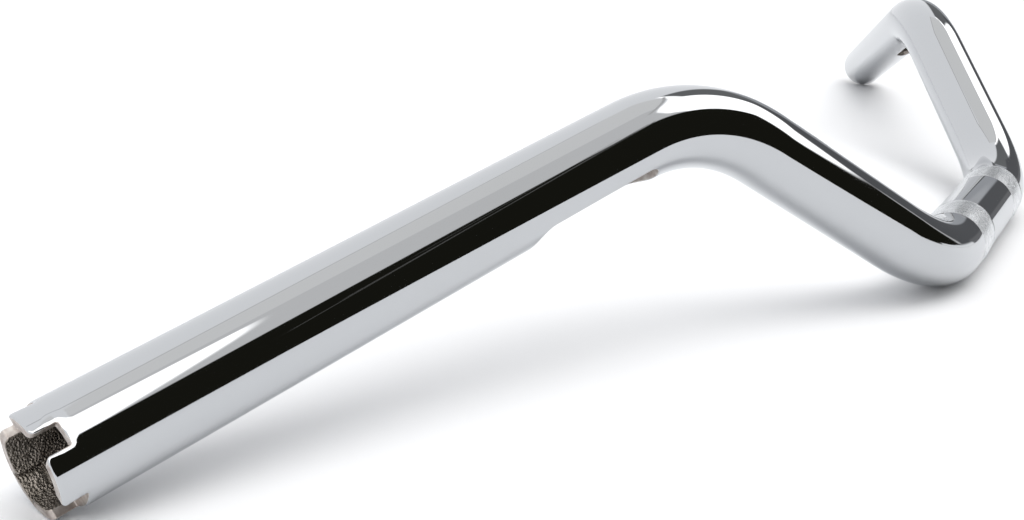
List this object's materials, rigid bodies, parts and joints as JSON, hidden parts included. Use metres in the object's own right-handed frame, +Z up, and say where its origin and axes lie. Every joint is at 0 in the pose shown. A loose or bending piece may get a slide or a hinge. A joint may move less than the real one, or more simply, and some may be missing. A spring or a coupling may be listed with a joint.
{
  "type": "motorcycle handlebar",
  "caption": "Bare chromed handlebar bent from one tube, with a rise and pull-back, two knurled clamp bands, wiring slots under both grips and a notched throttle end.",
  "frame": {"origin": "middle of the clamping section, on the flat side of the tube that faces the risers", "axes": "+X along the clamping section towards the notched throttle end (rider's right); +Y to the front; +Z up with the bar lying flat on a bench, resting on its clamping section and both grip ends. Fitted, the bar is turned 46.8 degrees about X from here, so that riser_side faces straight down and the grips rise"},
  "size_m": [0.7841, 0.1574, 0.0802],
  "materials": {
    "chrome": "mirror-polished chrome plating",
    "knurled_chrome": "fine diamond knurl, chrome plated"
  },
  "bodies": {
    "root": {"bar_tube": "chrome", "clamp_sleeve_right": "knurled_chrome", "clamp_sleeve_left": "knurled_chrome"}
  },
  "joints": []
}
